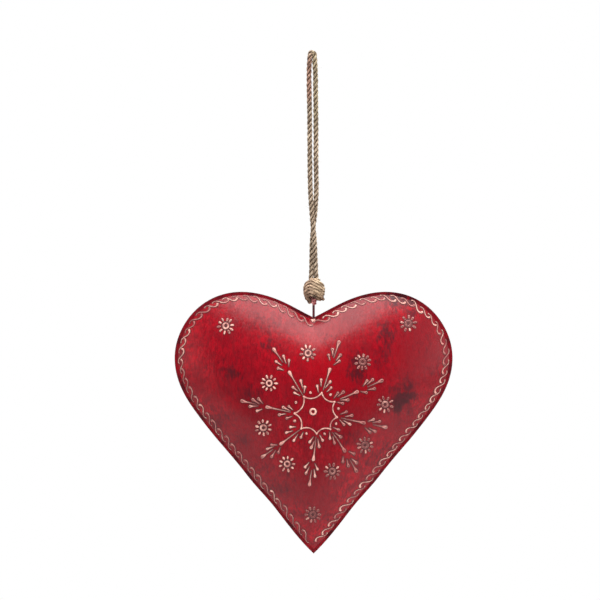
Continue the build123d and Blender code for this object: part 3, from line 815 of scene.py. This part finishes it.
# Paste: forms made flat, with the head at +X, then pressed onto the shell
def cut_flat(taper=()):
    """Cuts the form at hand off at the ground and closes its bottom, then draws it in.

    The taper's pairs are a place on X and how far what lies left of it is drawn in."""
    bpy.ops.object.mode_set(mode="EDIT")
    bpy.ops.mesh.select_all(action="SELECT")
    bpy.ops.mesh.bisect(plane_co=(0, 0, 0), plane_no=(0, 0, 1), clear_inner=True, use_fill=True)
    for limit, pull in taper:
        mesh = bmesh.from_edit_mesh(bpy.context.object.data)
        for vertex in mesh.verts:
            vertex.select_set(vertex.co.x < limit)
        mesh.select_flush_mode()
        bmesh.update_edit_mesh(bpy.context.object.data)
        bpy.ops.transform.resize(value=(1, pull, 0.5 + pull / 2), center_override=(0, 0, 0))
    bpy.ops.object.mode_set(mode="OBJECT")
    return bpy.context.object


def drop_form(taper):
    """A drop of paste one unit long and wide and half a unit high, drawn in towards -X."""
    added(bpy.ops.mesh.primitive_uv_sphere_add, "drop", segments=16, ring_count=10, radius=0.5)
    return cut_flat(taper)


def ring_form(outer, bead):
    """A ring of paste with its outer radius and the width of its bead, in millimetres."""
    added(bpy.ops.mesh.primitive_torus_add, "ring", major_radius=(outer - bead / 2) * MM,
          minor_radius=bead / 2 * MM, major_segments=26, minor_segments=12)
    return cut_flat()


def bead_form(line):
    """A bead of paste along a flat line of places, each with the bead's half width there."""
    bead = added(bpy.ops.curve.primitive_nurbs_path_add, "bead")
    bend(bead.data.splines[0], [(x, y, 0, half / MM) for x, y, half in line], 4)
    bead.data.bevel_depth = MM
    bead.data.bevel_resolution = 2
    bead.data.use_fill_caps = True
    bpy.ops.object.convert(target="MESH")
    return cut_flat()


# The dark glaze that has gathered round the paste: how far it stands out, and its height as a
# share of the paste's. Then the place before the front from which the shell is looked for, the
# face of its lip, and the gap between shell and paste
GLAZE_RIM = 0.32 * MM
GLAZE_HEIGHT = 0.07
FRONT_Y = -0.06
LIP_Y = -0.0006
PASTE_GAP = 0.03 * MM
LEAF = (
    (-5.2, 0, 0.22), (-4.3, 0, 0.36), (-2.6, 0, 0.43), (-1.5, 0, 0.52), (-0.9, 0, 0.86), (-0.2, 0, 0.98),
    (0.3, 0, 0.75), (0.55, 0, 0.35),
)
LEAF_GLAZE = (
    (-5.4, 0, 0.6), (-4.3, 0, 0.8), (-2.6, 0, 0.9), (-1.5, 0, 1.05), (-0.9, 0, 1.35), (-0.2, 0, 1.45),
    (0.5, 0, 1.2), (0.95, 0, 0.5),
)


def widened(line):
    """The line of the dark glaze round a bead: as long as the bead and a rim wider."""
    return [(x, y, half + GLAZE_RIM) for x, y, half in line]


class PasteWork:
    """Presses copies of the flat forms onto the front shell and joins them into pieces."""

    def __init__(self, context):
        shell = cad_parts["front_shell"]
        self.face = BVHTree.FromObject(shell, context.evaluated_depsgraph_get())
        self.material = bpy.data.materials.get("raised_paste") or worn_paste(context.scene.heart_paint)
        self.chance = random.Random(5)
        self.forms = {
            "leaf": bead_form(in_metres(LEAF)),
            "leaf_glaze": bead_form(in_metres(LEAF_GLAZE)),
            "petal": drop_form(((0.1, 0.93), (-0.1, 0.9), (-0.3, 0.85))),
            "dot": drop_form(((-0.2, 0.95),)),
        }
        self.dabs = []

    def over(self, x, z):
        """Where the front shell lies behind a place, as ray_cast gives it."""
        return self.face.ray_cast(Vector((x, FRONT_Y, z)), Vector((0, 1, 0)))

    def press(self, form, x, z, heading, size, wear, glaze):
        """Adds a copy of a form at a place, over a nearly flat copy of the glaze round it."""
        self.lay(glaze, x, z, heading, (size[0], size[1], GLAZE_HEIGHT * size[2]), -1.0)
        self.lay(form, x, z, heading, size, wear)

    def lay(self, form, x, z, heading, size, wear):
        """Adds a copy of a form, turned to a heading from +X towards +Z. Wear below 0 makes it glaze."""
        dab = form.copy()
        dab.data = form.data.copy()
        bpy.context.scene.collection.objects.link(dab)
        across, up = math.cos(heading), math.sin(heading)
        spots = [Vector((v.co.x * size[0], v.co.y * size[1], v.co.z * size[2])) for v in dab.data.vertices]
        top = max(spot.z for spot in spots)
        crown = dab.data.attributes.new("crown", "FLOAT", "POINT")
        rubbed = dab.data.attributes.new("rubbed", "FLOAT", "POINT")
        rise = dab.vertex_groups.new(name="rise")
        for vertex, spot, high, rub in zip(dab.data.vertices, spots, crown.data, rubbed.data):
            there = (x + spot.x * across - spot.y * up, z + spot.x * up + spot.y * across)
            hit, normal, _, _ = self.over(*there)
            if hit is None:
                hit, normal, _, _ = self.face.find_nearest(Vector((there[0], LIP_Y, there[1])))
            vertex.co = hit + normal * (spot.z + PASTE_GAP)
            high.value = spot.z / top if wear >= 0 else 0.0
            rub.value = max(wear, 0.0)
            rise.add([vertex.index], min(1.0, 1.5 * high.value), "REPLACE")
        self.dabs.append(dab)

    def drop(self, kind, x, z, heading, length, width, wear=0.0):
        """Adds a petal or dot with its glaze. The hand makes no two alike."""
        jitter = self.chance.uniform
        size = (length * jitter(0.92, 1.08), width * jitter(0.9, 1.12), width * jitter(0.75, 0.95))
        turn = heading + jitter(-0.08, 0.08)
        rim = 2 * GLAZE_RIM
        self.lay(self.forms[kind], x, z, turn, (size[0] + rim, size[1] + rim, GLAZE_HEIGHT * size[2]), -1.0)
        self.lay(self.forms[kind], x, z, turn, size, wear)

    def petal(self, middle, reach, turn, length, width, wear=0.0):
        """Adds a petal that points away from a middle."""
        self.drop("petal", middle.x + reach * math.cos(turn), middle.y + reach * math.sin(turn), turn,
                  length, width, wear)

    def bead(self, line, wear):
        """Adds a bead along a line that is already in its place."""
        form, glaze = bead_form(line), bead_form(widened(line))
        self.press(form, 0.0, 0.0, 0.0, (1, 1, 0.8), wear, glaze)
        discard(form, glaze)

    def leaf(self, x, z, heading, size, wear):
        """Adds a leaf with its glaze."""
        jitter = self.chance.uniform
        self.press(self.forms["leaf"], x, z, heading + jitter(-0.07, 0.07),
                   (size * jitter(0.9, 1.1), jitter(0.88, 1.1), 0.8), wear, self.forms["leaf_glaze"])

    def piece(self, name, node):
        """Joins what was pressed since the last piece, roughens it and gives it its place in the frame."""
        deselect()
        for dab in self.dabs:
            dab.select_set(True)
        bpy.context.view_layer.objects.active = self.dabs[0]
        bpy.ops.object.join()
        piece = bpy.context.object
        piece.name = name
        self.dabs = []
        while piece.data.uv_layers:
            piece.data.uv_layers.remove(piece.data.uv_layers[0])
        grain = bpy.data.textures.get("paste_grain") or bpy.data.textures.new("paste_grain", "CLOUDS")
        grain.noise_scale = 1.0 * MM
        bpy.ops.object.modifier_add(type="DISPLACE")
        rough = piece.modifiers[-1]
        rough.texture = grain
        rough.texture_coords = "GLOBAL"
        rough.strength = 0.34 * MM
        rough.mid_level = 0.5
        rough.vertex_group = "rise"
        bpy.ops.object.modifier_apply(modifier=rough.name)
        bpy.ops.object.shade_smooth_by_angle(angle=math.radians(50))
        dress(piece, self.material)
        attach(piece, "heart")
        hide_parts(node)

    def close(self, *forms):
        discard(*forms, *self.forms.values())


# The decoration's places on the grid, and sizes
STAR_MIDDLE = (313.0, 411.1)
STAR_BOW = 0.2  # How far a side bows inwards, as a share of its length
STAR_CUSPS = (
    (303.8, 396.3), (321.6, 392.4), (334.4, 401.4), (336.9, 416.7), (330.3, 428.5), (316.5, 433.1),
    (301.2, 428.0), (294.6, 412.9),
)
STAR_DOTS = (
    (310.4, 392.2), (330.3, 394.3), (338.2, 408.1), (335.9, 423.1), (324.5, 433.1), (306.5, 432.9),
    (294.6, 420.3), (295.9, 401.9),
)
# Rays: the inner stem's root and end, the outer stem's end, and the fat ends of the leaves
RAYS = (
    ((303.2, 395.4), (289.3, 371.8), (273.7, 348.9),
     ((300.7, 380.0), (304.8, 386.1), (292.6, 386.6), (294.1, 392.2)),
     ((283.4, 355.5), (289.0, 359.6), (275.7, 361.1), (277.8, 367.8))),
    ((323.0, 390.0), (329.8, 368.8), (339.0, 341.7),
     ((321.1, 379.0), (317.0, 385.1), (330.3, 381.0), (331.3, 387.1)),
     ((332.3, 348.9), (328.3, 354.5), (340.5, 354.5), (339.5, 360.6))),
    ((339.6, 398.6), (357.3, 391.2), (381.8, 380.0),
     ((338.0, 392.2), (343.6, 391.2), (348.2, 399.4), (343.1, 403.0)),
     ((367.0, 380.0), (372.7, 379.0), (374.7, 388.2), (366.5, 392.2))),
    ((340.6, 417.4), (364.0, 422.3), (385.9, 426.9),
     ((346.6, 411.1), (352.2, 414.7), (350.2, 423.9), (344.1, 424.4)),
     ((373.7, 418.8), (379.8, 420.8), (370.1, 432.0), (375.2, 431.0))),
    ((331.8, 431.4), (344.6, 450.4), (356.3, 470.8),
     ((339.0, 429.5), (341.0, 436.6), (334.4, 442.8), (329.8, 438.2)),
     ((354.3, 453.5), (356.8, 462.7), (348.2, 465.7), (342.6, 461.6))),
    ((315.9, 436.0), (313.3, 459.1), (309.4, 484.1),
     ((309.4, 441.7), (310.9, 447.3), (319.1, 446.3), (322.7, 440.2)),
     ((304.8, 466.7), (305.8, 472.9), (315.0, 475.9), (317.6, 468.8))),
    ((300.6, 428.6), (280.8, 443.3), (262.4, 456.5),
     ((290.0, 426.4), (285.9, 432.0), (293.6, 440.2), (300.7, 437.1)),
     ((271.1, 444.3), (267.0, 448.4), (271.6, 456.5), (278.3, 452.4))),
    ((291.0, 411.6), (267.0, 406.5), (242.0, 400.4),
     ((288.5, 405.5), (282.9, 406.5), (278.8, 414.2), (286.4, 417.8)),
     ((258.4, 397.9), (252.8, 398.9), (249.7, 406.0), (256.8, 410.6))),
)
# Where the outer stem starts on its way, and the wear of the inner and outer sprigs
OUTER_START = 0.40
RAY_WEAR = ((0.3, 0.4), (0.35, 0.6), (0.65, 1.0), (0.6, 0.8), (0.6, 0.9), (0.45, 0.4), (0.4, 0.6), (0.55, 0.7))
# Rosettes: the place and the wear of each
ROSETTES = (
    (307.9, 353.0, 0.5), (362.4, 361.6, 0.8), (269.3, 382.9, 0.35), (384.7, 404.0, 0.7),
    (263.5, 427.2, 0.5), (364.7, 444.6, 0.85), (287.2, 463.2, 0.4), (332.1, 470.6, 0.75),
    (225.9, 325.9, 0.5), (408.0, 323.5, 0.95), (312.8, 514.0, 1.0),
)
# One unit of the scroll: run along the border, way in from its middle, half width of the bead
SCROLL = (
    (-4.9, 1.15, 0.30), (-4.4, 1.45, 0.40), (-3.4, 1.75, 0.30), (-2.3, 1.65, 0.33), (-1.1, 0.95, 0.36),
    (0.0, 0.0, 0.36), (1.1, -1.0, 0.36), (2.4, -1.70, 0.38), (3.8, -1.80, 0.48), (4.7, -1.35, 0.70),
    (4.95, -0.85, 0.84), (5.0, -0.45, 0.52), (5.0, -0.25, 0.25),
)
# The border, in millimetres: how far in it runs, its pitch, how far it keeps from the heart's middle
# line, and how far from there its first and last units are. Then the wear to choose from, and the
# height below which it is worn more
SCROLL_INSET = 4.0
SCROLL_PITCH = 6.6
SCROLL_ASIDE = 2.6
SCROLL_FIRST = 3.2
SCROLL_LAST = 3.4
SCROLL_WEAR = (0.2, 0.4, 0.5, 0.6, 0.8, 1.0)
WORN_BELOW = -240 * MM
EDGE_STEPS = 240
CLEFT_DABS = (313.0, 321.2)


class HEART_OT_star(bpy.types.Operator):
    """Pipe the centre ring, the eight-pointed star round it and the dots in its hollows."""

    bl_idname = "tin_heart.star"
    bl_label = "Star"

    def execute(self, context):
        work = PasteWork(context)
        middle = place(*STAR_MIDDLE)
        ring, glaze = ring_form(2.4, 1.35), ring_form(2.8, 2.1)
        work.press(ring, *middle, 0.0, (1, 1, 0.8), 0.0, glaze)
        discard(ring, glaze)
        work.piece("paste_centre_ring", "centre_ring")
        cusps = [place(*cusp) for cusp in STAR_CUSPS]
        for start, end in zip(cusps, cusps[1:] + cusps[:1]):
            inwards = (end - start).orthogonal().normalized()
            if inwards.dot(middle - start) < 0:
                inwards = -inwards
            line = []
            for share in (0.0, 0.12, 0.3, 0.5, 0.7, 0.88, 1.0):
                bow = 4 * share * (1 - share) * STAR_BOW * (end - start).length
                spot = start.lerp(end, share) + inwards * bow
                line.append((spot.x, spot.y, (0.40 + 0.14 * abs(2 * share - 1) ** 4) * MM))
            work.bead(line, work.chance.uniform(0.2, 0.55))
        for cusp in cusps:
            work.drop("dot", *cusp, 0.0, 1.35 * MM, 1.35 * MM)
        work.piece("paste_star", "star_line")
        for dot in STAR_DOTS:
            work.drop("dot", *place(*dot), work.chance.uniform(0, 3), 1.9 * MM, 1.6 * MM, 0.45)
        work.piece("paste_star_dots", "star_dots")
        work.close()
        return {"FINISHED"}


# Stem of a sprig: share of the run, how far back from there and half a width, in millimetres
STEM = (
    (0.0, 0, 0.28), (0.2, 0, 0.38), (0.5, 0, 0.41), (1.0, 3.2, 0.48), (1.0, 2.0, 0.8), (1.0, 0.8, 1.1),
    (1.0, 0.0, 1.18), (1.0, -0.6, 0.8), (1.0, -0.9, 0.35),
)


def sprig(work, root, end, leaves, wear):
    """Presses a stem with a fat end and the leaves that fan out beside it."""
    root, end = place(*root), place(*end)
    ahead = (end - root).normalized()
    side = Vector((-ahead.y, ahead.x))
    heading = math.atan2(ahead.y, ahead.x)
    run = (end - root).length
    wave = work.chance.uniform(-0.2, 0.2) * MM
    line = []
    for share, back, half in STEM:
        spot = root + ahead * (run * share - back * MM) + side * wave * math.sin(math.pi * share)
        line.append((spot.x, spot.y, half * MM))
    work.bead(line, wear)
    fat = [place(*leaf) for leaf in leaves]
    for hand in (-1, 1):
        pair = sorted((leaf for leaf in fat if side.dot(leaf - root) * hand > 0), key=lambda leaf: -ahead.dot(leaf))
        for leaf, tilt, size in zip(pair, (19, 33), (1.0, 0.85)):
            work.leaf(*leaf, heading + hand * math.radians(tilt), size,
                      min(1, wear * work.chance.uniform(0.6, 1.4)))


class HEART_OT_rays(bpy.types.Operator):
    """Press the eight rays, each of an inner and an outer sprig."""

    bl_idname = "tin_heart.rays"
    bl_label = "Rays"

    def execute(self, context):
        work = PasteWork(context)
        for number, ((root, joint, tip, inner, outer), wear) in enumerate(zip(RAYS, RAY_WEAR), 1):
            sprig(work, root, joint, inner, wear[0])
            start = [near + (far - near) * OUTER_START for near, far in zip(joint, tip)]
            sprig(work, start, tip, outer, wear[1])
            work.piece("paste_ray_%d" % number, "ray_%d" % number)
        work.close()
        return {"FINISHED"}


class HEART_OT_rosettes(bpy.types.Operator):
    """Press the eleven rosettes, each a ring with petals round it."""

    bl_idname = "tin_heart.rosettes"
    bl_label = "Rosettes"

    def execute(self, context):
        work = PasteWork(context)
        jitter = work.chance.uniform
        ring, glaze = ring_form(2.25, 1.15), ring_form(2.6, 1.85)
        for number, (across, down, wear) in enumerate(ROSETTES, 1):
            middle = place(across, down)
            work.lay(work.forms["dot"], *middle, 0.0, (6.4 * MM, 6.4 * MM, 0.15 * MM), -1.0)
            work.press(ring, *middle, 0.0, (jitter(0.94, 1.06), 1, 0.7), wear, glaze)
            petals = 9 if number % 3 == 1 else 10
            first = jitter(0, FULL_TURN / petals)
            for petal in range(petals):
                turn = first + FULL_TURN * petal / petals + jitter(-0.07, 0.07)
                work.petal(middle, jitter(4.0, 4.4) * MM, turn, jitter(2.3, 2.9) * MM, 1.45 * MM,
                           min(1, wear * jitter(0.4, 1.5)))
            work.piece("paste_rosette_%d" % number, "rosette_%d" % number)
        work.close(ring, glaze)
        return {"FINISHED"}


def edge_line(work):
    """Places along the heart's edge on the right half, from the cleft round to the tip."""
    middle = place(ORIGIN_ACROSS, STAR_MIDDLE[1])
    line = []
    for step in range(EDGE_STEPS + 1):
        angle = math.pi * step / EDGE_STEPS
        ahead = Vector((math.sin(angle), math.cos(angle)))
        low, high = 30 * MM, 120 * MM
        for _ in range(18):
            reach = (low + high) / 2
            if work.over(*(middle + ahead * reach))[0] is None:
                high = reach
            else:
                low = reach
        line.append(middle + ahead * low)
    return line


class HEART_OT_border(bpy.types.Operator):
    """Pipe the running scroll inside the edge, clockwise all round."""

    bl_idname = "tin_heart.border"
    bl_label = "Scroll border"

    def execute(self, context):
        work = PasteWork(context)
        jitter = work.chance.uniform
        scroll = in_metres(SCROLL)
        form, glaze = bead_form(scroll), bead_form(widened(scroll))
        edge = edge_line(work)
        inner = []
        for before, here, after in zip(edge, edge[1:], edge[2:]):
            along = (after - before).normalized()
            inner.append(here + Vector((along.y, -along.x)) * SCROLL_INSET * MM)
        inner = [spot for spot in inner if spot.x > SCROLL_ASIDE * MM]
        runs = runs_along(inner)
        first, last = SCROLL_FIRST * MM, runs[-1] - SCROLL_LAST * MM
        count = round((last - first) / (SCROLL_PITCH * MM))
        for hand, node in ((1, "border_right"), (-1, "border_left")):
            for number in range(count + 1):
                index, spot = spot_along(inner, runs, first + (last - first) * number / count)
                along = inner[index + 1] - inner[index]
                heading = math.atan2(along.y * hand, along.x) + jitter(-0.12, 0.12)
                size = jitter(0.86, 1.06)
                more = (0.2 if spot.y < WORN_BELOW else 0.0) - 0.15 * hand
                wear = max(0.0, work.chance.choice(SCROLL_WEAR) + more)
                work.press(form, spot.x * hand, spot.y, heading,
                           (size, size * jitter(0.85, 1.08), 0.75), wear, glaze)
            if hand < 0:
                for turn in (2.3, 0.85):
                    work.petal(place(*CLEFT_DABS), 0.6 * MM, turn, 2.6 * MM, 1.5 * MM)
            work.piece("paste_" + node, node)
        work.close(form, glaze)
        return {"FINISHED"}


# Soft lights: name, width and depth in metres, watts and place
LIGHTS = (
    ("top_box", 1.9, 1.4, 46.0, (0.16, -0.29, 1.05)),
    ("left_box", 0.9, 0.9, 2.5, (-1.5, -0.75, 0.05)),
    ("right_box", 0.9, 0.9, 4.5, (1.5, -0.75, 0.05)),
    ("low_box", 1.4, 0.3, 2.0, (0.0, -1.1, -0.58)),
    ("back_box", 1.2, 1.2, 9.0, (0.4, 1.3, 0.5)),
)
LIGHTS_AIM = Vector((0, 0, -0.22))
DIM_WORLD = 0.22  # The white world's strength for soft light; seen or mirrored, it is 1
CAMERA_AWAY = 4.0
SENSOR_WIDTH = 36.0


class HEART_OT_stage(bpy.types.Operator):
    """Set the pale floor, the soft lights, the plain background and the camera."""

    bl_idname = "tin_heart.stage"
    bl_label = "Stage"

    def execute(self, context):
        floor = added(bpy.ops.mesh.primitive_plane_add, "floor", size=9.0, location=(0, 0, -0.62))
        dress(floor, Finish("pale_floor").to_shader(Base_Color=grey(0.82), Roughness=0.9))
        flag = added(bpy.ops.mesh.primitive_plane_add, "black_flag", size=1.0, location=(-0.1, -0.6, -0.087),
                     rotation=(math.pi / 2, 0, 0), scale=(1.8, 1.066, 1.0))
        bpy.ops.object.transform_apply(location=True, rotation=True, scale=True)
        dress(flag, Finish("black_cloth").to_shader(Base_Color=grey(0.0), Roughness=1.0, Specular_IOR_Level=0.0))
        for part in ("camera", "diffuse", "shadow", "transmission", "volume_scatter"):
            setattr(flag, "visible_" + part, False)
        for name, width, depth, energy, at in LIGHTS:
            lamp = added(bpy.ops.object.light_add, name, type="AREA", location=at)
            lamp.data.shape = "RECTANGLE"
            lamp.data.size = width
            lamp.data.size_y = depth
            lamp.data.energy = energy
            lamp.rotation_mode = "QUATERNION"
            lamp.rotation_quaternion = (LIGHTS_AIM - Vector(at)).to_track_quat("-Z", "Y")
        world = bpy.data.worlds.new("plain_white")
        context.scene.world = world
        world.use_nodes = True
        sky = Nodes(world.node_tree)
        rays = sky.add("ShaderNodeLightPath").outputs
        mirrored = sky.math("MAXIMUM", rays["Is Glossy Ray"], rays["Is Transmission Ray"])
        seen = sky.math("MAXIMUM", rays["Is Camera Ray"], mirrored)
        strength = sky.add("ShaderNodeMapRange", {"Value": seen, "To Min": DIM_WORLD, "To Max": 1.0})
        background = sky.tree.nodes["Background"]
        sky.feed(background, "Color", grey(1.0))
        sky.feed(background, "Strength", strength.outputs["Result"])
        x, z = place(GRID_WIDTH / 2, GRID_WIDTH / 2)
        camera = added(bpy.ops.object.camera_add, "camera", location=(x, -CAMERA_AWAY, z),
                       rotation=(math.pi / 2, 0, 0))
        camera.data.sensor_width = SENSOR_WIDTH
        camera.data.lens = SENSOR_WIDTH * CAMERA_AWAY / (GRID_WIDTH * GRID_STEP)
        camera.data.clip_end = 60.0
        context.scene.camera = camera
        context.scene.view_settings.view_transform = "Standard"
        return {"FINISHED"}


class HEART_PT_panel(bpy.types.Panel):
    """Lists the makers of the heart's pieces."""

    bl_label = "Tin heart"
    bl_space_type = "VIEW_3D"
    bl_region_type = "UI"
    bl_category = "Tin heart"

    def draw(self, context):
        for group in (context.scene.heart_cord, context.scene.heart_paint):
            for name in group.__annotations__:
                self.layout.prop(group, name)
        for maker in MAKERS:
            self.layout.operator(maker.bl_idname)


MAKERS = (HEART_OT_stage, HEART_OT_shells, HEART_OT_star, HEART_OT_rays, HEART_OT_rosettes, HEART_OT_border,
          HEART_OT_wire, HEART_OT_knot, HEART_OT_cord_loop)
CLASSES = (CordSettings, PaintSettings, *MAKERS, HEART_PT_panel)


def register():
    for item in CLASSES:
        bpy.utils.register_class(item)
    bpy.types.Scene.heart_cord = bpy.props.PointerProperty(type=CordSettings)
    bpy.types.Scene.heart_paint = bpy.props.PointerProperty(type=PaintSettings)


def unregister():
    del bpy.types.Scene.heart_paint
    del bpy.types.Scene.heart_cord
    for item in reversed(CLASSES):
        bpy.utils.unregister_class(item)


def main():
    register()
    bpy.ops.tin_heart.stage()
    bpy.ops.tin_heart.shells()
    bpy.ops.tin_heart.star()
    bpy.ops.tin_heart.rays()
    bpy.ops.tin_heart.rosettes()
    bpy.ops.tin_heart.border()
    bpy.ops.tin_heart.wire()
    bpy.ops.tin_heart.knot()
    bpy.ops.tin_heart.cord_loop()


if __name__ == "__main__":
    main()
